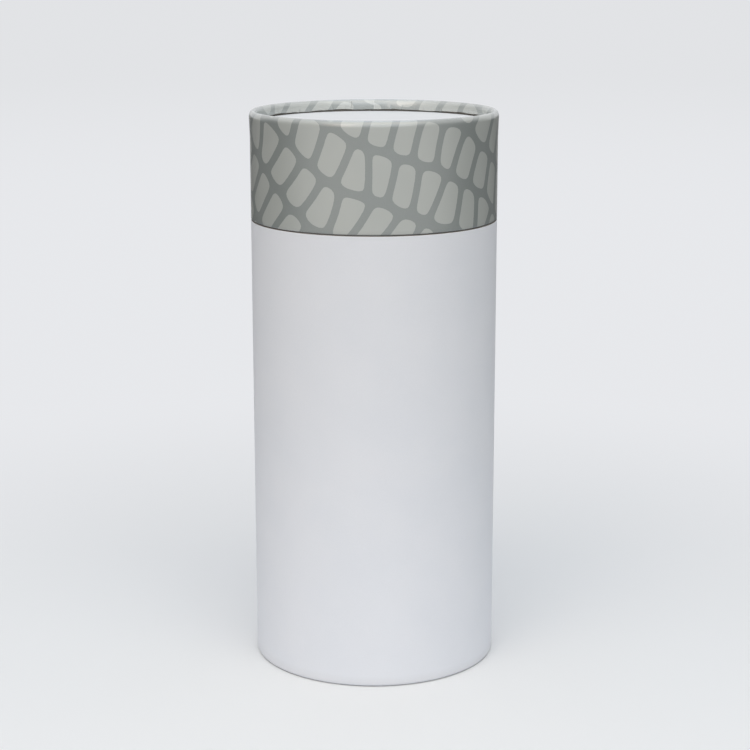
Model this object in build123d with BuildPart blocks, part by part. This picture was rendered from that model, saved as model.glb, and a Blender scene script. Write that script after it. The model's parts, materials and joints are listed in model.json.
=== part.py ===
"""Gift tube box: a round box of rolled board tubes, covered in paper, with a lift-off lid.

Millimetres, +Z up. The origin is the centre of the ring that the box stands on. The front
faces -Y, and each wrap paper's ends lap at the back, on +Y.

How it is made: a long inner tube, the neck, stands inside the box's outer tube on the base
disc and reaches up out of it, and the lid slides down over the neck. The lid's wall is
rolled inward at the top and the box's wall at the bottom. Each rolled edge holds a disc,
which is seated against the end of the rolled leg and so lies back from the rim.
"""

import os
from math import degrees

from build123d import *

os.makedirs("parts", exist_ok=True)

# Outside of the closed box
tube_radius = 55.0  # straight wall, over the wrap paper
box_wall_height = 201.8
seam_gap = 0.4  # open line between the lid's edge and the box's edge
lid_height = 47.8

# Sheets
paper = 0.2
lid_board = 1.15
neck_board = 1.5
disc_board = 1.5

# Fits
slide_gap = 0.3  # between the neck and the lid's lining
curl_gap = 0.1  # inside a rolled edge, between the wall and the leg

# Rolled edges
round_share = 0.42  # rounding of the lid rim's corners, as a share of the rim's width
base_round_share = 0.31
fold_share = 0.75  # the board's corner is broken by this share of the rounding over it

# Lid
lid_recess = 5.35  # from the rim down to the top disc
swell = 0.33  # rolling widens the wall by this much at the rim
swell_length = 11.5  # height over which the wall widens

# Box
base_recess = 5.35  # from the ring that the box stands on up to the base disc
turn_in = 15.0  # how far the neck's cover paper is turned down inside its mouth

# Wrap papers
lap_width = 11.0  # where a wrap's two ends lie one on the other

# Radii, from the outside in
lid_bore = tube_radius - paper - lid_board
lining_bore = lid_bore - paper
neck_outside = lining_bore - slide_gap
box_board = tube_radius - paper - neck_outside
cavity_radius = neck_outside - neck_board - 2 * paper

# Heights, from the floor up
floor_height = base_recess + disc_board + 2 * paper
lid_bottom = box_wall_height + seam_gap
total_height = lid_bottom + lid_height
facing_height = total_height - lid_recess
mouth_height = facing_height - disc_board - 2 * paper
swell_bottom = total_height - swell_length

# Rims
lid_board_depth = paper + lid_board
lid_disc_radius = lid_bore + swell * (mouth_height - swell_bottom) / swell_length
lid_rim_bore = lid_disc_radius - curl_gap - lid_board_depth
lid_rim_width = tube_radius + swell - lid_rim_bore
lid_rim_round = round_share * lid_rim_width
lid_round_bottom = total_height - lid_rim_round
base_rim_width = 2 * (paper + box_board) + curl_gap
base_rim_bore = tube_radius - base_rim_width
base_rim_round = base_round_share * base_rim_width
lap_angle = degrees(lap_width / tube_radius)


def lid_radius(height, depth):
    """Radius of the lid's wall at a height, depth under its skin: it widens to the rim."""
    return tube_radius - depth + swell * (max(height, swell_bottom) - swell_bottom) / swell_length


def lid_line(depth):
    """The lid's skin from its lower edge over the rim to the disc, moved in by depth."""
    rim_height = total_height - depth
    return [
        (lid_radius(lid_bottom, depth), lid_bottom),
        (lid_radius(swell_bottom, depth), swell_bottom),
        (lid_radius(rim_height, depth), rim_height),
        (lid_rim_bore + depth, rim_height),
        (lid_rim_bore + depth, facing_height),
    ]


def bore_line():
    """The board's inner side, from the lid's lower edge up round the disc to the rolled leg."""
    curl_height = total_height - lid_board_depth
    return [
        (lid_bore, lid_bottom),
        (lid_bore, swell_bottom),
        (lid_disc_radius, mouth_height),
        (lid_disc_radius, curl_height),
        (lid_rim_bore + lid_board_depth, curl_height),
        (lid_rim_bore + lid_board_depth, facing_height),
    ]


def box_line(depth):
    """The box's skin from its top edge under the rim to the base disc, moved in by depth."""
    return [
        (tube_radius - depth, box_wall_height),
        (tube_radius - depth, depth),
        (base_rim_bore + depth, depth),
        (base_rim_bore + depth, base_recess),
    ]


def neck_line(depth):
    """The neck's skin from the floor over the mouth to the turned-in end, moved in by depth."""
    return [
        (neck_outside - depth, floor_height),
        (neck_outside - depth, mouth_height - depth),
        (cavity_radius + depth, mouth_height - depth),
        (cavity_radius + depth, mouth_height - turn_in),
    ]


# Lid: board tube, straight cut below and rolled inward above
with BuildPart() as lid_shell:
    with BuildSketch(Plane.XZ) as section:
        with BuildLine():
            Polyline(*lid_line(paper), *reversed(bore_line()), close=True)
        make_face()
        rim_corners = section.vertices().group_by(Axis.Y)[-1]
        chamfer(rim_corners, fold_share * (lid_rim_round - paper))
    revolve(axis=Axis.Z)
lid_shell.part.label = "lid_shell"
export_step(lid_shell.part, "parts/lid_shell.step")

# Lid: printed wrap, over the rim and down to the disc, with its lap at the back
with BuildPart() as lid_wrap:
    with BuildSketch(Plane.XZ) as section:
        with BuildLine():
            Polyline(*lid_line(0), *reversed(lid_line(paper)), close=True)
        make_face()
        outer_corners = section.vertices().group_by(Axis.Y)[-1]
        fillet(outer_corners, lid_rim_round)
        inner_corners = section.vertices().group_by(Axis.Y)[-2]
        chamfer(inner_corners, fold_share * (lid_rim_round - paper))
    revolve(axis=Axis.Z)
    with BuildSketch(Plane.YZ):
        lap_heights = [lid_bottom, swell_bottom, lid_round_bottom]
        under = [(lid_radius(height, 0), height) for height in lap_heights]
        over = [(lid_radius(height, -paper), height) for height in lap_heights]
        with BuildLine():
            Polyline(*under, *reversed(over), close=True)
        make_face()
        with BuildLine():
            Polyline(
                (lid_rim_bore, facing_height),
                (lid_rim_bore, lid_round_bottom),
                (lid_rim_bore - paper, lid_round_bottom),
                (lid_rim_bore - paper, facing_height),
                close=True,
            )
        make_face()
    revolve(axis=Axis.Z, revolution_arc=lap_angle)
lid_wrap.part.label = "lid_wrap"
export_step(lid_wrap.part, "parts/lid_wrap.step")

# Lid: board disc, pressed up against the end of the rolled leg
with BuildPart() as lid_disc:
    with BuildSketch(Plane.XY.offset(mouth_height + paper)):
        Circle(lid_disc_radius)
    extrude(amount=disc_board)
lid_disc.part.label = "lid_disc"
export_step(lid_disc.part, "parts/lid_disc.step")

# Lid: white paper on top of the disc
with BuildPart() as lid_disc_facing:
    with BuildSketch(Plane.XY.offset(facing_height - paper)):
        Circle(lid_disc_radius)
    extrude(amount=paper)
lid_disc_facing.part.label = "lid_disc_facing"
export_step(lid_disc_facing.part, "parts/lid_disc_facing.step")

# Lid: white paper under the disc, which rests on the neck's mouth
with BuildPart() as lid_ceiling:
    with BuildSketch(Plane.XY.offset(mouth_height)):
        Circle(lid_disc_radius)
    extrude(amount=paper)
lid_ceiling.part.label = "lid_ceiling"
export_step(lid_ceiling.part, "parts/lid_ceiling.step")

# Lid: white lining of the bore, which slides on the neck
with BuildPart() as lid_lining:
    with BuildSketch(Plane.XZ):
        with BuildLine():
            Polyline(
                (lid_bore, lid_bottom),
                (lid_bore, swell_bottom),
                (lid_disc_radius, mouth_height),
                (lid_disc_radius - paper, mouth_height),
                (lining_bore, swell_bottom),
                (lining_bore, lid_bottom),
                close=True,
            )
        make_face()
    revolve(axis=Axis.Z)
lid_lining.part.label = "lid_lining"
export_step(lid_lining.part, "parts/lid_lining.step")

# Box: board tube, straight cut above and rolled inward below
with BuildPart() as body_shell:
    with BuildSketch(Plane.XZ) as section:
        with BuildLine():
            Polyline(*box_line(paper), *reversed(box_line(paper + box_board)), close=True)
        make_face()
        rim_corners = section.vertices().group_by(Axis.Y)[0]
        chamfer(rim_corners, fold_share * (base_rim_round - paper))
    revolve(axis=Axis.Z)
body_shell.part.label = "body_shell"
export_step(body_shell.part, "parts/body_shell.step")

# Box: white wrap, under the rim and up to the base disc, with its lap at the back
with BuildPart() as body_wrap:
    with BuildSketch(Plane.XZ) as section:
        with BuildLine():
            Polyline(*box_line(0), *reversed(box_line(paper)), close=True)
        make_face()
        outer_corners = section.vertices().group_by(Axis.Y)[0]
        fillet(outer_corners, base_rim_round)
        inner_corners = section.vertices().group_by(Axis.Y)[1]
        chamfer(inner_corners, fold_share * (base_rim_round - paper))
    revolve(axis=Axis.Z)
    with BuildSketch(Plane.YZ):
        with BuildLine():
            Polyline(
                (tube_radius, base_rim_round),
                (tube_radius + paper, base_rim_round),
                (tube_radius + paper, box_wall_height),
                (tube_radius, box_wall_height),
                close=True,
            )
        make_face()
        with BuildLine():
            Polyline(
                (base_rim_bore, base_rim_round),
                (base_rim_bore - paper, base_rim_round),
                (base_rim_bore - paper, base_recess),
                (base_rim_bore, base_recess),
                close=True,
            )
        make_face()
    revolve(axis=Axis.Z, revolution_arc=lap_angle)
body_wrap.part.label = "body_wrap"
export_step(body_wrap.part, "parts/body_wrap.step")

# Box: board disc, pressed down onto the end of the rolled leg
with BuildPart() as base_disc:
    with BuildSketch(Plane.XY.offset(base_recess + paper)):
        Circle(neck_outside)
    extrude(amount=disc_board)
base_disc.part.label = "base_disc"
export_step(base_disc.part, "parts/base_disc.step")

# Box: white paper under the base disc
with BuildPart() as base_facing:
    with BuildSketch(Plane.XY.offset(base_recess)):
        Circle(neck_outside)
    extrude(amount=paper)
base_facing.part.label = "base_facing"
export_step(base_facing.part, "parts/base_facing.step")

# Box: white paper on the base disc, inside, which the neck stands on
with BuildPart() as base_lining:
    with BuildSketch(Plane.XY.offset(floor_height - paper)):
        Circle(neck_outside)
    extrude(amount=paper)
base_lining.part.label = "base_lining"
export_step(base_lining.part, "parts/base_lining.step")

# Neck: board tube from the base disc to the mouth
with BuildPart() as neck_tube:
    with BuildSketch(Plane.XY.offset(floor_height)):
        Circle(neck_outside - paper)
        Circle(cavity_radius + paper, mode=Mode.SUBTRACT)
    extrude(amount=mouth_height - paper - floor_height)
neck_tube.part.label = "neck_tube"
export_step(neck_tube.part, "parts/neck_tube.step")

# Neck: white cover paper, over the mouth and turned down inside
with BuildPart() as neck_cover:
    with BuildSketch(Plane.XZ):
        with BuildLine():
            Polyline(*neck_line(0), *reversed(neck_line(paper)), close=True)
        make_face()
    revolve(axis=Axis.Z)
neck_cover.part.label = "neck_cover"
export_step(neck_cover.part, "parts/neck_cover.step")

# Neck: white lining, from the floor up to the turned-in cover
with BuildPart() as neck_lining:
    with BuildSketch(Plane.XY.offset(floor_height)):
        Circle(cavity_radius + paper)
        Circle(cavity_radius, mode=Mode.SUBTRACT)
    extrude(amount=mouth_height - turn_in - floor_height)
neck_lining.part.label = "neck_lining"
export_step(neck_lining.part, "parts/neck_lining.step")
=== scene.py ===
# %% [markdown]
# # A gift tube box of rolled board and paper
#
# The object is a round gift box: a white tube with a shorter printed lid, both of board
# covered in paper. The box's shape comes from a CAD frame, which stays as it is. This lesson
# adds what CAD leaves out: how paper goes round an edge, where its ends lap, the small pleats
# where it is turned in, the print on the lid, and the light of a pale studio.
#
# Lengths are in metres, as in the frame. One millimetre gets a short name, because paper and
# board are measured in millimetres.

# %% Load the frame
import json
import math

import bmesh
import bpy
import mathutils
import numpy as np
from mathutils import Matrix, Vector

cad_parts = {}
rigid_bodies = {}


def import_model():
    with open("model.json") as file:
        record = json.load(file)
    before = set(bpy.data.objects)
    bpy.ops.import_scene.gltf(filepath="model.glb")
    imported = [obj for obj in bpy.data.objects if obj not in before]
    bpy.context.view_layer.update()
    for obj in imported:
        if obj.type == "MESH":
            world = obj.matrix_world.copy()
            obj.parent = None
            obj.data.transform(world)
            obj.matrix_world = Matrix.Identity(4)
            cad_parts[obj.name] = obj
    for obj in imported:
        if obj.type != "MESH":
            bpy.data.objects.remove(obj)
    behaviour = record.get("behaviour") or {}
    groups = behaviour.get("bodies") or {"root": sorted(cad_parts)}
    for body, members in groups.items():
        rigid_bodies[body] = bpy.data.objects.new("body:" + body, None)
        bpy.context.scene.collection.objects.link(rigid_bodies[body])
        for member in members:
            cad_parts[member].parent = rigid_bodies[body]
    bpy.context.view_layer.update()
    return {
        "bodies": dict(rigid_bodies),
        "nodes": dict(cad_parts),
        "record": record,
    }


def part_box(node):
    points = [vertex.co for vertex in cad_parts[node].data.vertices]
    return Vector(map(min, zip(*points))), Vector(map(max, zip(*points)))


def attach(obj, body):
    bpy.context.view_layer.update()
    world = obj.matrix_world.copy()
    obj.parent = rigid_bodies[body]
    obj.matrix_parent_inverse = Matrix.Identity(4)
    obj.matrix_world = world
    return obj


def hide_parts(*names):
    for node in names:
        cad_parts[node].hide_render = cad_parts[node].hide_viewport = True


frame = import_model()
mm = 0.001

for body, empty in frame["bodies"].items():
    print("body", body, "carries", sorted(piece.name for piece in empty.children))

# %% [markdown]
# ## Sizes of the tube
#
# The new papers have to lie exactly on the boards of the frame, so their sizes are the frame's
# own. Heights are measured from the table and radii from the tube's middle. The frame's boxes
# are printed beside them, which shows at once if one of the two was changed.

# %% Sizes
tube_radius = 55 * mm
paper = 0.2 * mm

lid_foot = 202.2 * mm  # the lid's lower edge
swell_foot = 238.5 * mm  # from here up, rolling has widened the wall
lid_top = 250 * mm
rim_radius = 55.29 * mm  # at the height where the rim starts to bend over
rim_bore = 52.322 * mm
rim_crest = 53.632 * mm
rim_outside_height = 2.8 * mm  # from rim_radius up to the crest
rim_inside_height = 3.2 * mm  # from the crest down to where the leg is straight
disc_top = 244.65 * mm

lid_board_radius = tube_radius - paper
lid_board_bore = 53.65 * mm
disc_seat = 53.772 * mm  # radius of the disc, where the board holds it

box_top = 201.8 * mm
foot_bore = 51.2 * mm
foot_round = 1.5 * mm
base_disc_foot = 5.35 * mm

neck_radius = 53.15 * mm
neck_bore = 51.25 * mm
neck_foot = 7.25 * mm
mouth = 242.75 * mm
turn_in = 15 * mm

for node in ("lid_wrap", "body_wrap", "neck_cover", "lid_disc_facing"):
    low, high = (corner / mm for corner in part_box(node))
    print(node, "radius", round(high.x, 2), "from", round(low.z, 2), "to", round(high.z, 2))

# %% [markdown]
# ## Tools for working in edit mode
#
# A modeller picks edges with the mouse. A script picks them by their place. These three
# helpers open a piece in edit mode with nothing selected, select what lies at a place, and
# close the piece again. Two measures of a place come up all the time on a round object: how
# far it is from the middle, and its angle round the tube, which starts at the back, where
# the papers lap, and runs towards -X.

# %% Edit mode helpers
same_place = 0.005 * mm  # two lengths that differ by less are taken for one


def edit(piece):
    """Opens a piece in edit mode, with nothing selected anywhere."""
    bpy.ops.object.select_all(action="DESELECT")
    piece.select_set(True)
    bpy.context.view_layer.objects.active = piece
    bpy.ops.object.mode_set(mode="EDIT")
    bpy.ops.mesh.select_all(action="DESELECT")


def leave():
    bpy.ops.object.mode_set(mode="OBJECT")


def radius_of(place):
    return math.hypot(place.x, place.y)


def angle_of(place):
    """Degrees round the tube from the back, +Y, towards -X, from 0 up to 360."""
    return math.degrees(math.atan2(-place.x, place.y)) % 360


def pick_edges(piece, test):
    """Selects the edges that the test passes, and says how many there are."""
    bpy.ops.mesh.select_mode(type="EDGE")
    bpy.ops.mesh.select_all(action="DESELECT")
    mesh = bmesh.from_edit_mesh(piece.data)
    for edge in mesh.edges:
        edge.select_set(test(edge))
    bmesh.update_edit_mesh(piece.data)
    return sum(edge.select for edge in mesh.edges)


def at(value, wanted):
    return abs(value - wanted) < same_place


# %% [markdown]
# ## Paper round a tube
#
# A wrap paper is one sheet that runs up the wall, over the rim and down inside. Its section is
# a line with a few corners. The quickest way to draw that by hand is to start with an open
# cylinder for the wall, extrude its top ring from corner to corner, and bevel the rings where
# the paper goes round an edge.
#
# The tube has 440 columns of faces. That makes 14 columns as wide as the lap, 11 mm, and a
# facet of 0.8 mm is too small to see.

# %% Draw the section
columns = 440
column_angle = 360 / columns
lap_columns = 14
round_steps = 8
row_height = 1.1 * mm


def start_tube(name, radius, low, high):
    """An open cylinder, whose place is in its mesh."""
    bpy.ops.object.select_all(action="DESELECT")
    bpy.ops.mesh.primitive_cylinder_add(
        vertices=columns,
        radius=radius,
        depth=high - low,
        end_fill_type="NOTHING",
        location=(0, 0, (low + high) / 2),
    )
    piece = bpy.context.object
    piece.name = piece.data.name = name
    bpy.ops.object.transform_apply(location=True, rotation=False, scale=False)
    return piece


def extrude_ring(piece, ring, to):
    """Extrudes the open ring at one (radius, height) to another."""
    pick_edges(
        piece,
        lambda edge: edge.is_boundary
        and all(at(radius_of(v.co), ring[0]) and at(v.co.z, ring[1]) for v in edge.verts),
    )
    bpy.ops.mesh.extrude_edges_move(TRANSFORM_OT_translate={"value": (0, 0, to[1] - ring[1])})
    grow = to[0] / ring[0]
    bpy.ops.transform.resize(value=(grow, grow, 1), center_override=(0, 0, to[1]))


def draw_section(piece, corners):
    """Extrudes the wall's end ring through the corners of the paper's section."""
    for ring, to in zip(corners, corners[1:]):
        extrude_ring(piece, ring, to)


def round_rings(piece, rings, size):
    """Bevels the rings at these (radius, height) corners."""
    count = pick_edges(
        piece,
        lambda edge: any(
            all(at(radius_of(v.co), r) and at(v.co.z, z) for v in edge.verts) for r, z in rings
        ),
    )
    bpy.ops.mesh.bevel(offset=size, segments=round_steps, profile=0.5, affect="EDGES")
    return count


print("a column is", round(math.radians(column_angle) * tube_radius / mm, 2), "mm wide")

# %% [markdown]
# Next, the long faces are divided into rows, so that the paper can bend and the print has
# enough points to follow. A modeller would use loop cuts. Subdividing only the upright edges
# gives the same rows.


# %% Rows of faces
def upright(edge):
    """True for an edge that runs up, down or in, and not round the tube."""
    turn = abs(angle_of(edge.verts[0].co) - angle_of(edge.verts[1].co))
    return min(turn, 360 - turn) < column_angle / 4


def add_rows(piece, height):
    """Divides the faces until no row is taller than this."""
    mesh = bmesh.from_edit_mesh(piece.data)
    tall = {round(e.calc_length() / mm, 2) for e in mesh.edges if upright(e)}
    for length in sorted(size for size in tall if size * mm > height):
        pick_edges(piece, lambda e: upright(e) and round(e.calc_length() / mm, 2) == length)
        bpy.ops.mesh.subdivide(number_cuts=math.ceil(length * mm / height) - 1)


def add_columns(piece, inside):
    """Divides the rings inside this radius in three, for the fine shapes of a turned-in end."""
    pick_edges(
        piece,
        lambda edge: not upright(edge) and all(radius_of(v.co) < inside for v in edge.verts),
    )
    bpy.ops.mesh.subdivide(number_cuts=2)


# %% [markdown]
# ## The lap
#
# A sheet round a tube ends on top of its own start. The end is a step as high as the paper is
# thick, and its cut edge shows the paper's white core. Further on, the sheet climbs softly
# over the start that lies under it.
#
# The step needs two columns of points at nearly the same angle. Bevelling the column at the
# back gives them. Solidify then gives the sheet its thickness, inwards to the board, and a
# Displace modifier moves the points of a vertex group. That is safer than moving points by
# hand, because the share of each point can be looked at as a weight.

# %% Step, thickness and lifting
step_width = 0.14 * mm
same_column = 0.01  # degrees


def split_column(piece, angle, width, segments):
    """Makes the column at this angle two columns or more, a hair apart."""
    def in_column(point):
        return abs((angle_of(point.co) - angle + 180) % 360 - 180) < same_column

    pick_edges(piece, lambda edge: upright(edge) and all(map(in_column, edge.verts)))
    bpy.ops.mesh.bevel(offset=width / 2, segments=segments, affect="EDGES")


def thicken(piece, thickness):
    """Gives a sheet its thickness, inwards. Returns how many points its outer side has."""
    outside = len(piece.data.vertices)
    solid = piece.modifiers.new("paper", "SOLIDIFY")
    solid.thickness = thickness
    solid.offset = -1
    solid.use_even_offset = True
    solid.material_offset = solid.material_offset_rim = 1
    bpy.ops.object.modifier_apply(modifier=solid.name)
    return outside


def lift(piece, name, amount, weights, direction="NORMAL"):
    """Moves points by amount times their weight, out of the surface or along an axis."""
    group = piece.vertex_groups.new(name=name)
    for number, weight in weights.items():
        group.add([number], weight, "REPLACE")
    move = piece.modifiers.new(name, "DISPLACE")
    move.vertex_group = name
    move.direction = direction
    move.mid_level = 0
    move.strength = amount
    bpy.ops.object.modifier_apply(modifier=move.name)
    most = round(amount / mm, 3)
    print(piece.name, name, "moves", len(weights), "points by up to", most, "mm")


def lap_weights(piece, outside):
    """1 for the outer side's points in the lap, but 0 on top of an edge, where it is pressed."""
    weights = {}
    for point in piece.data.vertices[:outside]:
        angle = angle_of(point.co)
        if 0 < angle < (lap_columns + 0.5) * column_angle:
            weights[point.index] = 1 - point.normal.z**4
    return weights


# %% [markdown]
# ## Uneven paper
#
# Glued paper isn't quite flat: board plies and glue leave swells a few centimetres long and
# some hundredths of a millimetre deep. They can't be seen as a shape, but they keep a long
# shine from being ruler-straight. A Displace modifier with a Clouds texture makes them. Its
# middle level of 1 makes them all go inwards, so that the tube gets no larger.

# %% Swells
swells = bpy.data.textures.new("paper swells", "CLOUDS")
swells.noise_scale = 22 * mm
swells.noise_depth = 1
swell_depth = 0.05 * mm
print("the paper swells by up to", swell_depth / mm, "mm")


def make_uneven(piece, outside):
    """Gives the outer side of a sheet its swells."""
    group = piece.vertex_groups.new(name="outside")
    group.add(list(range(outside)), 1, "REPLACE")
    uneven = piece.modifiers.new("swells", "DISPLACE")
    uneven.texture = swells
    uneven.texture_coords = "LOCAL"
    uneven.vertex_group = "outside"
    uneven.mid_level = 1
    uneven.strength = swell_depth
    bpy.ops.object.modifier_apply(modifier=uneven.name)


# %% [markdown]
# ## Pleats
#
# Paper that is turned inwards has to fit a smaller circle, so it gathers into small pleats.
# Each is a fold that rises slowly on one side and drops at once on the other, leans a little,
# and gets stronger towards the paper's end. Real pleats are uneven, so their angles come from
# a seeded random generator, which gives the same pleats in every run.
#
# The line of shadow at a fold's foot, on the side where it drops, is finer than the mesh can
# show. So the foot is also stored on the mesh, and the printed paper's material darkens it.

# %% Pleats
fold_foot = 0.3  # degrees that a fold's dark foot is wide
step_margin = 1.5  # degrees next to the lap's step that stay free of folds
least_fold = 0.02  # share of the height under which a fold is left out


def pleat_weights(piece, points, start, end, count, seed):
    """Weights of count uneven folds, growing from one height to the other.

    Each fold's foot, on its sharp side, goes into the mesh as the attribute fold_shade.
    """
    shade = np.zeros(len(piece.data.vertices), dtype=np.float32)
    dice = np.random.default_rng(seed)
    folds = (np.arange(count) + dice.uniform(-0.4, 0.4, count)) * 360 / count
    widths = dice.uniform(1.5, 4, count)  # degrees
    heights = dice.uniform(0.35, 1, count) ** 2
    reaches = dice.uniform(0.3, 1, count)  # share of the way up that a fold reaches
    leans = dice.uniform(-1.5, 1.5, count)  # degrees from one end to the other
    weights = {}
    for number in points:
        place = piece.data.vertices[number].co
        angle = angle_of(place)
        down = (start - place.z) / (start - end)
        past = (angle - folds - leans * (1 - down) + 180) % 360 - 180
        fold = np.where(past > 0, np.clip(1 - past / widths, 0, 1), 0)
        strength = heights * np.clip((down - 1 + reaches) / reaches, 0, 1)
        fold = fold * strength
        shade[number] = np.where((past > -fold_foot) & (past <= 0), strength, 0).max()
        if fold.max() > least_fold and step_margin < angle < 360 - step_margin:
            weights[number] = float(fold.max())
    piece.data.attributes.new("fold_shade", "FLOAT", "POINT").data.foreach_set("value", shade)
    return weights


# %% [markdown]
# ## The rolled rim
#
# A machine rolls the board's end inwards over a hot die, which leaves a full, soft rim that
# is taller than it is wide. A bevel gives only round corners, so here the rim's section is two
# quarters of an ellipse, one on each side of the crest. Their points are worked out and the
# ring is extruded through them. The board under the paper follows the same curve, as deep
# under it as the paper is thick.


# %% Rim section
def rim_points(depth):
    """The section over the rim, from the outer wall to the leg inside, moved in by depth."""
    points = []
    for step in range(2 * round_steps + 1):
        turn = math.pi / 2 * step / round_steps
        outside = step < round_steps
        wide = (rim_radius - rim_crest if outside else rim_crest - rim_bore) - depth
        tall = rim_outside_height if outside else rim_inside_height
        height = lid_top - tall + (tall - depth) * math.sin(turn)
        points.append((rim_crest + wide * math.cos(turn), height))
    return points


for word, place in (("starts", rim_points(0)[0]), ("ends", rim_points(0)[-1])):
    print("the rim's section", word, "at", [round(length / mm, 2) for length in place], "mm")

# %% [markdown]
# The rolled leg was cut before it was rolled, so its end is a little wavy and stops short of
# the disc here and there. That leaves the fine dark line which runs round the disc. The wave
# is the same for the board and for the paper on it.

# %% Wavy end of the rolled leg
leg_end = disc_top + 0.45 * mm
leg_wave = 0.7 * mm


def wave_weights(piece, height):
    """Weights of a slow irregular wave for the points at this height on the rolled leg."""
    weights = {}
    for point in piece.data.vertices:
        if abs(point.co.z - height) < 0.1 * mm and radius_of(point.co) < disc_seat:
            turn = math.radians(angle_of(point.co))
            wave = math.sin(5 * turn + 1) + math.sin(11 * turn + 4) + 0.7 * math.sin(27 * turn)
            weights[point.index] = 0.5 + wave / 5.6  # wave is 2.7 at most, so never below 0
    return weights


print("the leg's end starts its wave", round((leg_end - disc_top) / mm, 2), "mm above the disc")

# %% [markdown]
# ## The lid's printed wrap
#
# The paper starts at the lid's lower edge, follows the wall, goes round the rolled rim and
# ends above the disc. Its lowest fraction of a millimetre is bent in a little, as cutting the
# tube to length does, and that is why the seam has a fine line of light.

# %% Lid wrap
cut_bend = 0.28 * mm  # height of the bent part
cut_in = 0.12 * mm  # how far its end is bent in
lid_cut_back = 0.08 * mm  # the paper ends this far short of its board's end
lid_leg_side = rim_crest - 0.2 * mm  # the turned-in end lies inside this radius
crease_angle = lap_columns * column_angle
crease_width = 0.46 * mm

lid_wrap = start_tube("lid_wrap_paper", tube_radius, lid_foot + cut_bend, swell_foot)
edit(lid_wrap)
draw_section(
    lid_wrap,
    [(tube_radius, lid_foot + cut_bend), (tube_radius - cut_in, lid_foot + lid_cut_back)],
)
draw_section(lid_wrap, [(tube_radius, swell_foot), *rim_points(0), (rim_bore, leg_end)])
add_rows(lid_wrap, row_height)
add_columns(lid_wrap, lid_leg_side)
split_column(lid_wrap, 0, step_width, 1)
split_column(lid_wrap, crease_angle, crease_width, 2)
leave()
lid_outside = thicken(lid_wrap, paper)
make_uneven(lid_wrap, lid_outside)
print("lid wrap:", len(lid_wrap.data.polygons), "faces")

# %% [markdown]
# Inside the rim, the sheet shows three small things: the pleats, a crease where it climbs over
# its own start, and the step where it ends. The step comes last, because lifting moves a point
# along its normal, and the normals at a step point aside.

# %% Lid wrap's pleats, crease and lap
fold_start = lid_top - 0.6 * mm  # just inside the crest
lid_pleat = 0.45 * mm
crease_depth = 0.17 * mm
crease_reach = 0.05  # degrees on both sides, which take in its middle column alone

lid_leg = [
    point.index
    for point in lid_wrap.data.vertices[:lid_outside]
    if radius_of(point.co) < rim_crest and point.co.z < fold_start
]
lift(lid_wrap, "wave", leg_wave, wave_weights(lid_wrap, leg_end), "Z")
folds = pleat_weights(lid_wrap, lid_leg, fold_start, leg_end, count=52, seed=3)
lift(lid_wrap, "pleats", lid_pleat, folds)
crease = {
    number: min(1, (lid_top - lid_wrap.data.vertices[number].co.z) / mm)
    for number in lid_leg
    if abs(angle_of(lid_wrap.data.vertices[number].co) - crease_angle) < crease_reach
}
lift(lid_wrap, "crease", -crease_depth, crease)
# The crease's share goes into fold_shade too, which the printed paper darkens as painted shade.
for number, share in crease.items():
    lid_wrap.data.attributes["fold_shade"].data[number].value = share
lift(lid_wrap, "lap", paper, lap_weights(lid_wrap, lid_outside))

# %% [markdown]
# ## The lid's board
#
# The board tube is the frame's, but its rim is drawn with the same ellipse, and its leg ends in
# the same wave, because both can be seen: the rim through the paper's shape, and the leg's end
# in the dark line round the disc. The section is closed, so its last ring is merged into its
# first.

# %% Lid board
curl_roof = lid_top - 1.35 * mm  # under the rolled edge
curl_back = 53.672 * mm  # the rolled leg's back, a hair away from the wall
drag_height = 0.3 * mm  # of the cut corner, which the saw drags in
drag_width = 0.15 * mm

lid_board = start_tube("lid_board_tube", lid_board_radius, lid_foot + drag_height, swell_foot)
edit(lid_board)
draw_section(
    lid_board,
    [
        (lid_board_radius, swell_foot),
        *rim_points(paper),
        (rim_bore + paper, leg_end),
        (curl_back, leg_end),
        (curl_back, curl_roof),
        (disc_seat, curl_roof),
        (disc_seat, mouth),
        (lid_board_bore, swell_foot),
        (lid_board_bore, lid_foot),
        (lid_board_radius - drag_width, lid_foot),
        (lid_board_radius, lid_foot + drag_height),
    ],
)
bpy.ops.mesh.select_all(action="SELECT")
bpy.ops.mesh.remove_doubles(threshold=same_place)
bpy.ops.mesh.normals_make_consistent(inside=False)
leave()
lift(lid_board, "wave", leg_wave, wave_weights(lid_board, leg_end), "Z")
print("lid board:", len(lid_board.data.polygons), "faces")

# %% [markdown]
# ## The box's white wrap
#
# It is the same kind of sheet, turned in at the bottom. The cylinder is the wall again, and
# the section is drawn downwards from it, round the foot and up to the base disc.

# %% Box wrap
foot_start = 3 * mm  # the straight wall starts here
box_cut_back = 0.18 * mm
box_row_height = 5 * mm  # the box has no print to follow, so its rows are taller
box_leg_side = foot_bore + 0.05 * mm
box_pleat = 0.2 * mm

box_wrap = start_tube("body_wrap_paper", tube_radius, foot_start, box_top - cut_bend)
edit(box_wrap)
draw_section(
    box_wrap,
    [(tube_radius, box_top - cut_bend), (tube_radius - cut_in, box_top - box_cut_back)],
)
draw_section(
    box_wrap,
    [(tube_radius, foot_start), (tube_radius, 0), (foot_bore, 0), (foot_bore, base_disc_foot)],
)
foot_corners = [(tube_radius, 0), (foot_bore, 0)]
print("foot edges rounded:", round_rings(box_wrap, foot_corners, foot_round))
add_rows(box_wrap, box_row_height)
add_columns(box_wrap, box_leg_side)
split_column(box_wrap, 0, step_width, 1)
leave()
box_outside = thicken(box_wrap, paper)
make_uneven(box_wrap, box_outside)

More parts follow.
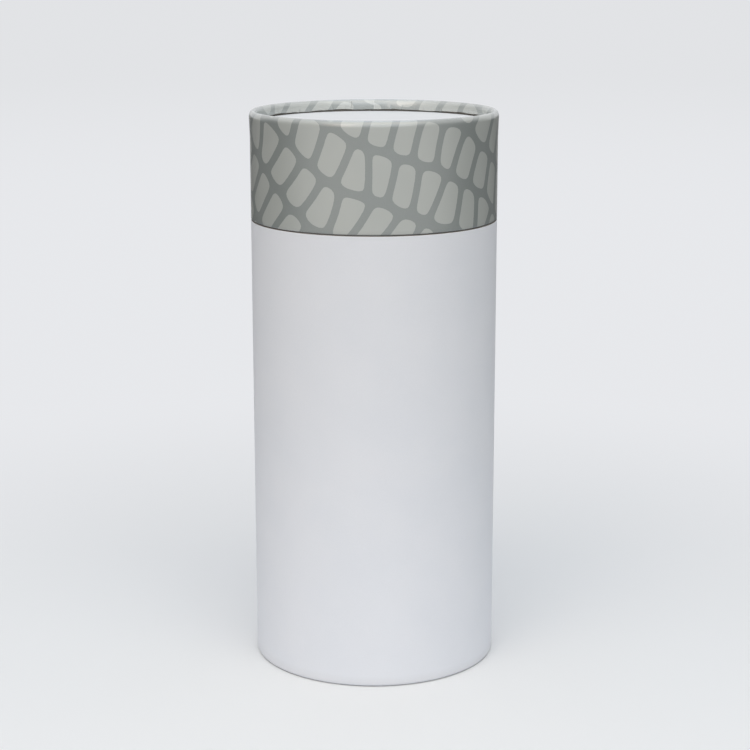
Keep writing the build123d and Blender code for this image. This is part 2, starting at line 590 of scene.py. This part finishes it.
box_leg = [
    point.index
    for point in box_wrap.data.vertices[:box_outside]
    if radius_of(point.co) < box_leg_side and point.co.z > foot_round
]
folds = pleat_weights(box_wrap, box_leg, foot_round, base_disc_foot, count=58, seed=5)
lift(box_wrap, "pleats", box_pleat, folds)
lift(box_wrap, "lap", paper, lap_weights(box_wrap, box_outside))
print("box wrap:", len(box_wrap.data.polygons), "faces")

# %% [markdown]
# ## The neck's cover
#
# The neck shows when the lid is lifted. Its paper goes over the mouth, round the edge of the
# board, and ends 15 mm down inside, where it is pleated too.

# %% Neck cover
mouth_round = 0.45 * mm
mouth_start = mouth - 3 * mm  # the straight wall ends here
neck_row_height = 12 * mm
neck_leg_side = neck_bore + 0.05 * mm
neck_pleat = 0.15 * mm

neck_cover = start_tube("neck_cover_paper", neck_radius, neck_foot, mouth_start)
edit(neck_cover)
mouth_corners = [(neck_radius, mouth), (neck_bore, mouth)]
draw_section(
    neck_cover, [(neck_radius, mouth_start), *mouth_corners, (neck_bore, mouth - turn_in)]
)
print("mouth edges rounded:", round_rings(neck_cover, mouth_corners, mouth_round))
add_rows(neck_cover, neck_row_height)
leave()
neck_outside = thicken(neck_cover, paper)
make_uneven(neck_cover, neck_outside)
neck_leg = [
    point.index
    for point in neck_cover.data.vertices[:neck_outside]
    if radius_of(point.co) < neck_leg_side
]
folds = pleat_weights(neck_cover, neck_leg, mouth, mouth - turn_in, count=50, seed=7)
lift(neck_cover, "pleats", neck_pleat, folds)
print("neck cover:", len(neck_cover.data.polygons), "faces")

# %% [markdown]
# ## Smooth shading and the frame
#
# Smooth shading by angle keeps the cut edges crisp and makes the walls round. Then each piece
# is told which body it moves with, and the frame's piece that it stands for is hidden.

# %% Put the pieces in the frame
smooth_angle = math.radians(40)


def put_in_frame(piece, body, node):
    bpy.ops.object.select_all(action="DESELECT")
    piece.select_set(True)
    bpy.context.view_layer.objects.active = piece
    bpy.ops.object.shade_smooth_by_angle(angle=smooth_angle)
    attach(piece, body)
    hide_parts(node)
    print(piece.name, "moves with the", body, "and stands for", node)


put_in_frame(lid_wrap, "lid", "lid_wrap")
put_in_frame(lid_board, "lid", "lid_shell")
put_in_frame(box_wrap, "box", "body_wrap")
put_in_frame(neck_cover, "box", "neck_cover")

# %% [markdown]
# ## Unrolling the lid's paper
#
# A print is made on a flat sheet. So the lid's paper gets a UV map that is the flat sheet, in
# millimetres: across is the way round the tube, and up is the way along the section, over the
# rim and down inside. At the lap, the two ends of the sheet don't match, as on the real one.


# %% Flat coordinates
def flat_place(place):
    """Where a point of the lid's paper lies on the flat sheet, in mm."""
    across = math.radians(angle_of(place)) * tube_radius
    up = place.z - lid_foot
    if radius_of(place) < rim_crest:  # inside the crest, the sheet runs down again
        up = 2 * (lid_top - lid_foot) - up
    if place.z > lid_top - rim_outside_height:  # on the rim, the way inwards counts by half
        up += (rim_radius - radius_of(place)) / 2
    elif up > lid_top - lid_foot:
        up += (rim_radius - rim_bore) / 2
    return across / mm, up / mm


sheet_places = np.array([flat_place(point.co) for point in lid_wrap.data.vertices])
flat_map = lid_wrap.data.uv_layers.new(name="flat_sheet")
corners = np.empty(len(lid_wrap.data.loops), dtype=np.int32)
lid_wrap.data.loops.foreach_get("vertex_index", corners)
flat_map.data.foreach_set("uv", sheet_places[corners].astype(np.float32).ravel())
print("flat sheet, mm:", sheet_places.max(axis=0).round(1))

# %% [markdown]
# ## A print of pebbles
#
# The lid carries a calm all-over print in two sage greys. Here it is a generic one, of rounded
# pebbles that lie close together. Each pebble is the ground round one point of a slanting
# lattice, up to halfway to the next points. That is a Voronoi pattern, and Blender has a node
# for it, but the node can't round the corners or keep the gaps equally wide. A few lines of
# NumPy can: they take the distance to each border, blend these distances so that corners
# become round, and store the depth inside the pebble on the mesh. The material draws the edge
# of the ink where that depth is zero, which stays sharp between the points.

# %% Pebble depth
pebble_step = (12.0, 22.0)  # mm between lattice points, along a row and between rows
pebble_slant = -0.5  # radians
pebble_shake = 0.12  # share of a step by which a point leaves its place
pebble_drift = 5  # mm by which slow waves bend the rows
pebble_gap = 3.4  # mm between two pebbles
pebble_softness = 1.0  # mm: a larger one gives rounder corners
neighbours = 12  # nearest points that are looked at, its own among them
overlap = 40  # mm past the sheet's edges that still get points


def pebble_middles(width, height, seed=4):
    """Points of a slanting, shaken lattice that covers the sheet."""
    reach = range(-45, 45)  # more than the sheet needs, whatever the slant
    row, place = np.meshgrid(reach, reach)
    along = (place + 0.5 * (row % 2)) * pebble_step[0]
    grid = np.stack([along, row * pebble_step[1]], -1).reshape(-1, 2)
    shake = np.random.default_rng(seed).uniform(-pebble_shake, pebble_shake, grid.shape)
    grid = grid + shake * pebble_step
    c, s = math.cos(pebble_slant), math.sin(pebble_slant)
    grid = grid @ np.array([[c, s], [-s, c]]) + [width / 2, height / 2]
    return grid[np.all((grid > -overlap) & (grid < [width + overlap, height + overlap]), axis=1)]


def pebble_depth(places, middles):
    """How deep in its pebble each place of the sheet is, in mm. It is negative in the gaps."""
    across, up = places[:, 0], places[:, 1]
    drift = np.stack([np.sin(up / 17 + across / 41), np.sin(across / 23 + 1)], -1)
    places = places + pebble_drift * drift
    squares = ((places[:, None] - middles) ** 2).sum(-1)
    order = np.argsort(squares, axis=1)[:, :neighbours]
    near = np.take_along_axis(squares, order, axis=1)
    own, others = middles[order[:, :1]], middles[order[:, 1:]]
    border = (near[:, 1:] - near[:, :1]) / (2 * np.linalg.norm(others - own, axis=-1))
    blended = -pebble_softness * np.log(np.exp(-border / pebble_softness).sum(1))
    return blended - pebble_gap / 2


middles = pebble_middles(*sheet_places.max(axis=0))
parts = np.array_split(sheet_places, 40)  # part by part, this needs less memory
depth = np.concatenate([pebble_depth(part, middles) for part in parts])
lid_wrap.data.attributes.new("pebble_depth", "FLOAT", "POINT").data.foreach_set(
    "value", depth.astype(np.float32)
)
print("share of the sheet under pebbles:", round(float((depth[:lid_outside] > 0).mean()), 2))

# %% [markdown]
# ## Materials from nodes
#
# Each finish is a Principled shader with a little of what the real stuff shows: flecks and
# clouds in the colour, a roughness that isn't the same everywhere, and a fine bump. A material
# is mostly a chain of nodes, so one helper adds a node and sets its inputs, where a value that
# is another node's output makes a link.


# %% Node helpers
def new_material(name):
    """A material with an empty tree but for its Principled shader."""
    made = bpy.data.materials.new(name)
    made.use_nodes = True
    return made, made.node_tree, made.node_tree.nodes["Principled BSDF"]


def add(tree, kind, settings=None, **inputs):
    """Adds a node. settings are its own options, and inputs are values or other outputs."""
    node = tree.nodes.new("ShaderNode" + kind)
    for option, value in (settings or {}).items():
        setattr(node, option, value)
    fill(tree, node, inputs)
    return node


def fill(tree, node, inputs):
    """Sets or links inputs by name, where an underscore stands for a space."""
    for name, value in inputs.items():
        key = int(name[1:]) if name[0] == "_" else name.replace("_", " ")
        if isinstance(value, bpy.types.NodeSocket):
            tree.links.new(value, node.inputs[key])
        else:
            node.inputs[key].default_value = value


def clouds(tree, place, size, detail):
    """Noise from 0 to 1, whose clouds are about this size."""
    return add(tree, "TexNoise", Vector=place, Scale=1 / size, Detail=detail).outputs["Fac"]


def spread(tree, value, low, high):
    """Maps noise, which stays near its middle, to the range from low to high."""
    made = add(tree, "MapRange", Value=value, From_Min=0.3, From_Max=0.7, To_Min=low, To_Max=high)
    return made.outputs["Result"]


def rise(tree, value, start, full, share=1.0, smooth=False):
    """0 at start, rising to the share at full and kept there. Full may be below start."""
    made = add(tree, "MapRange", Value=value, From_Min=start, From_Max=full, To_Max=share)
    made.interpolation_type = "SMOOTHSTEP" if smooth else "LINEAR"
    return made.outputs["Result"]


def blend(tree, share, first, second):
    """The first colour, which passes into the second as far as the share says."""
    made = add(tree, "Mix", {"data_type": "RGBA"}, _0=share, _6=first, _7=second)
    return made.outputs[2]


def bump(tree, height, distance, strength, normal=None):
    inputs = {"Height": height, "Distance": distance, "Strength": strength}
    if normal is not None:
        inputs["Normal"] = normal
    return add(tree, "Bump", **inputs).outputs["Normal"]


def height_of(tree, place):
    return add(tree, "SeparateXYZ", Vector=place).outputs["Z"]


def from_middle(tree, place):
    """Distance from the tube's middle line."""
    axes = add(tree, "SeparateXYZ", Vector=place).outputs
    flat = add(tree, "CombineXYZ", X=axes["X"], Y=axes["Y"]).outputs["Vector"]
    return add(tree, "VectorMath", {"operation": "LENGTH"}, _0=flat).outputs["Value"]


# %% [markdown]
# ## Paper
#
# Uncoated white paper scatters light softly. Seen close, it has fibres a few tenths of a
# millimetre long. Seen from afar, it is a touch darker and lighter in clouds. Both are so weak
# that they only show where light grazes the surface. On the lid's disc, the paper past the rolled
# leg gets painted shade, as dark as the slot under the leg. The box's paper gets painted shade
# that grows a little towards its foot and is near black where it meets the table, where no light
# gets in.

# %% White paper
fleck_grey = (0.66, 0.66, 0.68, 1)
slot_shade_grey = (0.08, 0.085, 0.085, 1)
slot_shade_edge = 0.15 * mm  # over which clean paper passes into its painted shade
faint_foot_shade = (0.5, 0.47, 0.44, 1)
foot_shade = (0.04, 0.04, 0.045, 1)


def paper_bump(tree, place):
    """Fibres, and the slight unevenness of paper that is glued on board."""
    grain = bump(tree, clouds(tree, place, 0.35 * mm, 4), 0.03 * mm, 0.35)
    return bump(tree, clouds(tree, place, 7 * mm, 2), 0.06 * mm, 0.5, grain)


def white_paper(name, light, dark, shaded_past=None, shaded_foot=False):
    """Paper between two near-white colours, with painted shade past a distance or at its foot."""
    made, tree, shader = new_material(name)
    place = add(tree, "TexCoord").outputs["Object"]
    colour = blend(tree, spread(tree, clouds(tree, place, 24 * mm, 3), 0, 1), dark, light)
    flecks = spread(tree, clouds(tree, place, 0.5 * mm, 3), 0.0, 0.12)
    colour = blend(tree, flecks, colour, fleck_grey)
    if shaded_past:
        # Painted shade: past this radius, under the rolled leg, the paper turns near black.
        middle = from_middle(tree, place)
        slot_shade = rise(tree, middle, shaded_past, shaded_past + slot_shade_edge, smooth=True)
        colour = blend(tree, slot_shade, colour, slot_shade_grey)
    if shaded_foot:
        # Painted shade: a little darker towards the foot, and near black where it meets the
        # table.
        high = height_of(tree, place)
        faint_shade = rise(tree, high, start=5 * mm, full=1 * mm, share=0.16)
        colour = blend(tree, faint_shade, colour, faint_foot_shade)
        shade = rise(tree, high, start=0.38 * mm, full=0.18 * mm)
        colour = blend(tree, shade, colour, foot_shade)
    roughness = spread(tree, clouds(tree, place, 3 * mm, 3), 0.58, 0.7)
    normal = paper_bump(tree, place)
    fill(tree, shader, {"Base Color": colour, "Roughness": roughness, "Normal": normal})
    shader.inputs["Specular IOR Level"].default_value = 0.35
    return made


box_paper = white_paper(
    "white wrap paper", (0.80, 0.805, 0.835, 1), (0.775, 0.785, 0.82, 1), shaded_foot=True
)
lining_paper = white_paper("white lining paper", (0.80, 0.80, 0.80, 1), (0.77, 0.77, 0.775, 1))
disc_paper = white_paper(
    "white disc paper", (0.775, 0.775, 0.775, 1), (0.755, 0.755, 0.76, 1), shaded_past=rim_bore
)
core_paper = white_paper("cut paper edge", (0.82, 0.82, 0.81, 1), (0.78, 0.78, 0.77, 1))
for kind in (box_paper, lining_paper, disc_paper, core_paper):
    print(kind.name, "has", len(kind.node_tree.nodes), "nodes")

# %% [markdown]
# ## Printed paper
#
# The lid's paper is the same sheet with two inks. The ink of the pebbles lies where the stored
# depth is above zero. A little noise on the depth gives the edge of the ink the tiny waver of
# offset printing. Along the crest of the rim both inks pass towards one middle grey, a painted
# highlight. The paper inside the crest gets a pale painted light, and the foot of each pleat and
# the crease get painted shade.
#
# The sheet has a clear satin film on it, which the shader's coat is for. It is hardly seen on
# the wall, but it shines where light comes in low, as on the rim.

# %% Print in two inks
ground_ink = (0.232, 0.254, 0.243, 1)
pebble_ink = (0.44, 0.455, 0.428, 1)
cloud_ink = (0.22, 0.24, 0.235, 1)
crest_highlight_ink = (0.41, 0.425, 0.42, 1)
inner_light_ink = (0.77, 0.8, 0.8, 1)
fold_shadow_ink = (0.07, 0.08, 0.08, 1)
speckle_grey = (0.55, 0.56, 0.55, 1)
ink_edge = 0.07  # mm over which one ink passes into the other
highlight_foot = lid_top - 2.2 * mm  # the painted highlight starts here and is full at the next height
highlight_top = lid_top - 0.2 * mm
inner_light_radius = rim_crest - 0.8 * mm  # inside it the painted light on the turned-in paper is full

printed_paper, tree, shader = new_material("printed wrap paper")
place = add(tree, "TexCoord").outputs["Object"]
depth_value = add(tree, "Attribute", {"attribute_name": "pebble_depth"}).outputs["Fac"]
waver = spread(tree, clouds(tree, place, 0.8 * mm, 2), -0.05, 0.05)
edge = add(tree, "Math", {"operation": "ADD"}, _0=depth_value, _1=waver).outputs[0]
inked = rise(tree, edge, -ink_edge, ink_edge, smooth=True)
colour = blend(tree, inked, ground_ink, pebble_ink)
tone = spread(tree, clouds(tree, place, 16 * mm, 3), 0.0, 0.07)
colour = blend(tree, tone, colour, cloud_ink)
# Painted highlight: both inks pass towards a middle grey along the crest of the rim.
highlight_share = spread(tree, clouds(tree, place, 2 * mm, 3), 0.42, 0.6)
crest_highlight = rise(tree, height_of(tree, place), highlight_foot, highlight_top, share=highlight_share)
colour = blend(tree, crest_highlight, colour, crest_highlight_ink)
# Painted light: the turned-in paper inside the crest is paler and cooler.
inner_light = rise(tree, from_middle(tree, place), rim_crest, inner_light_radius, share=0.14)
colour = blend(tree, inner_light, colour, inner_light_ink)
# Painted shade in the foot of each pleat and in the crease.
fold = add(tree, "Attribute", {"attribute_name": "fold_shade"}).outputs["Fac"]
colour = blend(tree, rise(tree, fold, start=0, full=1, share=0.75), colour, fold_shadow_ink)
speckle = spread(tree, clouds(tree, place, 0.3 * mm, 2), 0.0, 0.06)
colour = blend(tree, speckle, colour, speckle_grey)
roughness = spread(tree, clouds(tree, place, 3 * mm, 3), 0.3, 0.4)
normal = paper_bump(tree, place)
fill(tree, shader, {"Base Color": colour, "Roughness": roughness, "Normal": normal})
shader.inputs["Specular IOR Level"].default_value = 0.5
shader.inputs["Coat Weight"].default_value = 1
shader.inputs["Coat Roughness"].default_value = 0.25
shader.inputs["Coat IOR"].default_value = 1.9
print("printed paper has", len(tree.nodes), "nodes")

# %% [markdown]
# ## Grey board
#
# The boards only show at their cut edges: in the seam, and on the lid's lower edge when it is
# lifted. Tube board is wound from many plies, which show there as fine rings. The rings come
# from the distance to the tube's middle. A noise texture needs it as a coordinate, so the
# distance is put in a vector of its own.

# %% Grey board
dark_ply = (0.18, 0.17, 0.155, 1)
light_ply = (0.33, 0.312, 0.285, 1)
board_fibre = (0.31, 0.27, 0.235, 1)

grey_board, tree, shader = new_material("wound grey board")
place = add(tree, "TexCoord").outputs["Object"]
ring_place = add(tree, "CombineXYZ", X=from_middle(tree, place)).outputs["Vector"]
plies = clouds(tree, ring_place, 0.3 * mm, 1)
fibres = clouds(tree, place, 0.6 * mm, 4)
colour = blend(tree, spread(tree, plies, 0, 1), dark_ply, light_ply)
colour = blend(tree, spread(tree, fibres, 0, 0.5), colour, board_fibre)
roughness = spread(tree, fibres, 0.78, 0.92)
normal = bump(tree, fibres, 0.05 * mm, 0.6)
fill(tree, shader, {"Base Color": colour, "Roughness": roughness, "Normal": normal})
shader.inputs["Specular IOR Level"].default_value = 0.3
print("grey board has", len(tree.nodes), "nodes")

# %% [markdown]
# ## Putting the materials on
#
# A sheet has two slots: its face, and its cut edge and back, which Solidify has already put in
# the second slot. The step of the lap is a cut edge as well. Its faces are the narrow ones at
# the back, and they are moved to the second slot here.

# %% Dress the sheets
step_span = 359.5  # a face of the step has points on both sides of the angle 0


def dress_sheet(piece, face, lapped):
    piece.data.materials.clear()
    piece.data.materials.append(face)
    piece.data.materials.append(core_paper)
    cut = 0
    for side in piece.data.polygons:
        angles = [angle_of(piece.data.vertices[number].co) for number in side.vertices]
        if lapped and max(angles) - min(angles) > step_span:
            side.material_index = 1
            cut += 1
    print(piece.name, "has", cut, "faces in the lap's cut edge")


dress_sheet(lid_wrap, printed_paper, lapped=True)
dress_sheet(box_wrap, box_paper, lapped=True)
dress_sheet(neck_cover, lining_paper, lapped=False)
lid_board.data.materials.append(grey_board)

# %% [markdown]
# The frame's other pieces have the right shape, so they stay. Each gets the finish that the
# record names for it, and the paper on top of the lid's disc gets the one with painted shade
# past the rolled leg.

# %% Dress the frame's own pieces
finishes = {"greyboard": grey_board, "white_paper": lining_paper}
own_finish = {"lid_disc_facing": disc_paper}
for row in frame["record"]["subparts"]:
    name = row["node"]
    node = frame["nodes"][name]
    if not node.hide_render:
        node.data.materials.clear()
        node.data.materials.append(own_finish.get(name) or finishes[row["material_slot"]])
        print(name, "gets", node.data.materials[0].name)

# %% [markdown]
# ## Floor
#
# The tube stands in front of a seamless pale sweep. A wide plane is enough, because the camera
# looks down and never sees its end.

# %% Floor
bpy.ops.object.select_all(action="DESELECT")
bpy.ops.mesh.primitive_plane_add(size=24, location=(0, 0, 0))
floor = bpy.context.object
floor.name = "floor"
edit(floor)
bpy.ops.mesh.select_all(action="SELECT")
bpy.ops.mesh.subdivide(number_cuts=3)
leave()
print("floor:", len(floor.data.polygons), "faces")

# %% [markdown]
# ## What each kind of light sees
#
# Blender's Light Path node says what asks for a colour: the camera, a shine, or light that is
# thrown back softly. With it, the studio can show a shine what a real studio would, while the
# white paper, which has hardly any shine, keeps its even light. A direction comes with it,
# which says what part of the studio the shine looks at.


# %% Light path helpers
def mix(tree, share, first, second):
    """The first shader, which passes into the second as far as the share says."""
    return add(tree, "MixShader", _0=share, _1=first, _2=second).outputs[0]


def for_shines(tree, share):
    """The share for a shine, and 0 for light of any other kind."""
    glossy = add(tree, "LightPath").outputs["Is Glossy Ray"]
    return add(tree, "Math", {"operation": "MULTIPLY"}, _0=glossy, _1=share).outputs[0]


def shine_towards(tree, direction, start, full, axis="Y"):
    """1 where a shine shows what lies this way along an axis, and 0 for any other light."""
    along = add(tree, "SeparateXYZ", Vector=direction).outputs[axis]
    return for_shines(tree, rise(tree, along, start, full, smooth=True))


def camera_or_shine(tree, direction, start, full):
    """1 for the camera, and for a shine that shows what is behind the tube."""
    shine = shine_towards(tree, direction, start, full)
    from_camera = add(tree, "LightPath").outputs["Is Camera Ray"]
    return add(tree, "Math", {"operation": "MAXIMUM"}, _0=from_camera, _1=shine).outputs[0]


# %% [markdown]
# In a studio the pale floor isn't endless. Further off it gets less light, and so the tube's
# sides, which face that way, are darker than its front. So the floor has several looks. For
# the light that it throws back, it is pale near the tube and dim further off. For the camera
# it is lit near the tube, where it takes the soft shadow, and has a plain pale colour of its
# own further off. The paper's shine on the rim shows the pale sweep behind the tube, so it
# counts as the camera there, and a shine that looks forward shows the studio's bright front.

# %% Floor paint
near_bounce = (0.72, 0.755, 0.805, 1)
far_bounce = (0.12, 0.12, 0.12, 1)
near_shades = ((0.843, 0.847, 0.856, 1), (0.858, 0.862, 0.871, 1))
middle_distance = (0.80, 0.81, 0.835, 1)
background = (0.76, 0.77, 0.79, 1)
bright_front = (0.68, 0.68, 0.68, 1)
front_start, front_full = 0.1, -0.7  # Y of a direction where the front starts and is full

floor_paint, tree, shader = new_material("pale sweep")
place = add(tree, "TexCoord").outputs["Object"]
away = add(tree, "VectorMath", {"operation": "LENGTH"}, _0=place).outputs["Value"]

out_of_light = rise(tree, away, start=0.22, full=0.6, smooth=True)
bounce = blend(tree, out_of_light, near_bounce, far_bounce)
fill(tree, shader, {"Base Color": bounce, "Roughness": 1.0})
shader.inputs["Specular IOR Level"].default_value = 0

mottle = spread(tree, clouds(tree, place, 0.3, 2), 0, 1)
seen_near = add(tree, "BsdfDiffuse", Color=blend(tree, mottle, *near_shades)).outputs[0]
distance = rise(tree, away, start=1.2, full=4, smooth=True)
far_colour = blend(tree, distance, middle_distance, background)
seen_far = add(tree, "Emission", Color=far_colour, Strength=1.0).outputs[0]
out_of_shadow = rise(tree, away, start=0.1, full=0.5, smooth=True)
seen = mix(tree, out_of_shadow, seen_near, seen_far)

direction = add(tree, "VectorMath", {"operation": "NORMALIZE"}, _0=place).outputs["Vector"]
glow = add(tree, "Emission", Color=bright_front, Strength=1.0).outputs[0]
to_front = shine_towards(tree, direction, front_start, front_full)
lighting = mix(tree, to_front, shader.outputs[0], glow)
seen_rays = camera_or_shine(tree, direction, start=0.93, full=0.99)
mixed = mix(tree, seen_rays, lighting, seen)
tree.links.new(mixed, tree.nodes["Material Output"].inputs["Surface"])
floor.data.materials.append(floor_paint)
print("floor paint has", len(tree.nodes), "nodes")

# %% [markdown]
# ## Light
#
# The picture has almost no shadow: light comes softly from all sides, and more from the front
# and from above. The world gives the light from all sides. Four soft lamps add the rest: wide
# ones in front and overhead, a weak warm one at the left, and a cool one above. Together they
# light white paper to a little under white.
#
# Shines need something to show. So for them, and only for them, the world has a dark screen on
# either side, a bright front and a white ceiling. Behind the tube they show the same pale
# background as the camera. What only shines can see doesn't change the light on white paper.

# %% World
even_light = (0.575, 0.575, 0.566, 1)
dark_screen = (0.18, 0.18, 0.18, 1)
white_ceiling = (1, 1, 1, 1)

world = bpy.data.worlds.new("studio")
bpy.context.scene.world = world
world.use_nodes = True
tree = world.node_tree
tree.nodes.clear()


def surround(colour):
    return add(tree, "Background", Color=colour, Strength=1.0).outputs[0]


direction = add(tree, "TexCoord").outputs["Generated"]
across = add(tree, "SeparateXYZ", Vector=direction).outputs["X"]
sideways = add(tree, "Math", {"operation": "ABSOLUTE"}, _0=across).outputs[0]
to_screens = for_shines(tree, rise(tree, sideways, start=0.6, full=0.9))
mixed = mix(tree, to_screens, surround(even_light), surround(dark_screen))
to_front = shine_towards(tree, direction, front_start, front_full)
mixed = mix(tree, to_front, mixed, surround(bright_front))
seen_rays = camera_or_shine(tree, direction, start=0.3, full=0.8)
mixed = mix(tree, seen_rays, mixed, surround(background))
to_ceiling = shine_towards(tree, direction, start=0.1, full=0.45, axis="Z")
mixed = mix(tree, to_ceiling, mixed, surround(white_ceiling))
tree.links.new(mixed, add(tree, "OutputWorld").inputs["Surface"])
print("world has", len(tree.nodes), "nodes")

# %% [markdown]
# A large lamp near a thing gives it soft shades, so each lamp is a wide rectangle. Where they
# stand, how strong they are and their tints were found by setting renders against the
# photograph, patch by patch.


# %% Lamps
def soft_lamp(name, place, aim, size, power, colour):
    """A rectangular lamp at a place, turned to shine at its aim."""
    data = bpy.data.lights.new(name, "AREA")
    data.shape = "RECTANGLE"
    data.size, data.size_y = size
    data.energy = power
    data.color = colour
    lamp = bpy.data.objects.new(name, data)
    bpy.context.scene.collection.objects.link(lamp)
    lamp.location = place
    away = lamp.location - mathutils.Vector(aim)
    lamp.rotation_euler = away.to_track_quat("Z", "Y").to_euler()
    print(name, "lamp:", power, "W from", place)


# Each row is a name, a place, an aim, a size, a power in watts and a colour.
soft_lamp("front", (0, -1.6, 0.75), (0, 0, 0.15), (2.2, 0.8), 5.6, (0.81, 0.88, 1))
soft_lamp("overhead", (0, -0.8, 1.2), (0, 0, 0.2), (2.2, 1.0), 7.4, (1, 0.99, 0.9))
soft_lamp("left", (-0.8, -1.4, 0.75), (0, 0, 0.15), (0.8, 0.8), 2.3, (1, 0.75, 0.56))
soft_lamp("top", (0, 0.15, 1.3), (0, 0, 0.1), (0.8, 0.8), 2.4, (0.54, 0.71, 1))

# %% [markdown]
# ## Camera
#
# The camera's place and lens were found by fitting a pinhole camera to the tube's straight
# sides, its seam, its rim and its foot in the photograph.

# %% Camera
camera_place = (0.36 * mm, -839.13 * mm, 323.63 * mm)
camera_lens = 90.546  # mm
sensor_width = 36  # mm
camera_tilt = 13.034  # degrees that it looks down
camera_roll = -0.001  # radians

camera_data = bpy.data.cameras.new("camera")
camera = bpy.data.objects.new("camera", camera_data)
bpy.context.scene.collection.objects.link(camera)
bpy.context.scene.camera = camera
camera_data.sensor_width = sensor_width
camera_data.lens = camera_lens
camera_data.clip_start = 0.01
camera_data.clip_end = 50
camera.location = camera_place
camera.rotation_euler = (math.radians(90 - camera_tilt), 0, 0)
camera.rotation_euler.rotate_axis("Z", camera_roll)
bpy.context.scene.view_settings.view_transform = "Standard"
print("camera at", tuple(round(length, 3) for length in camera.location))
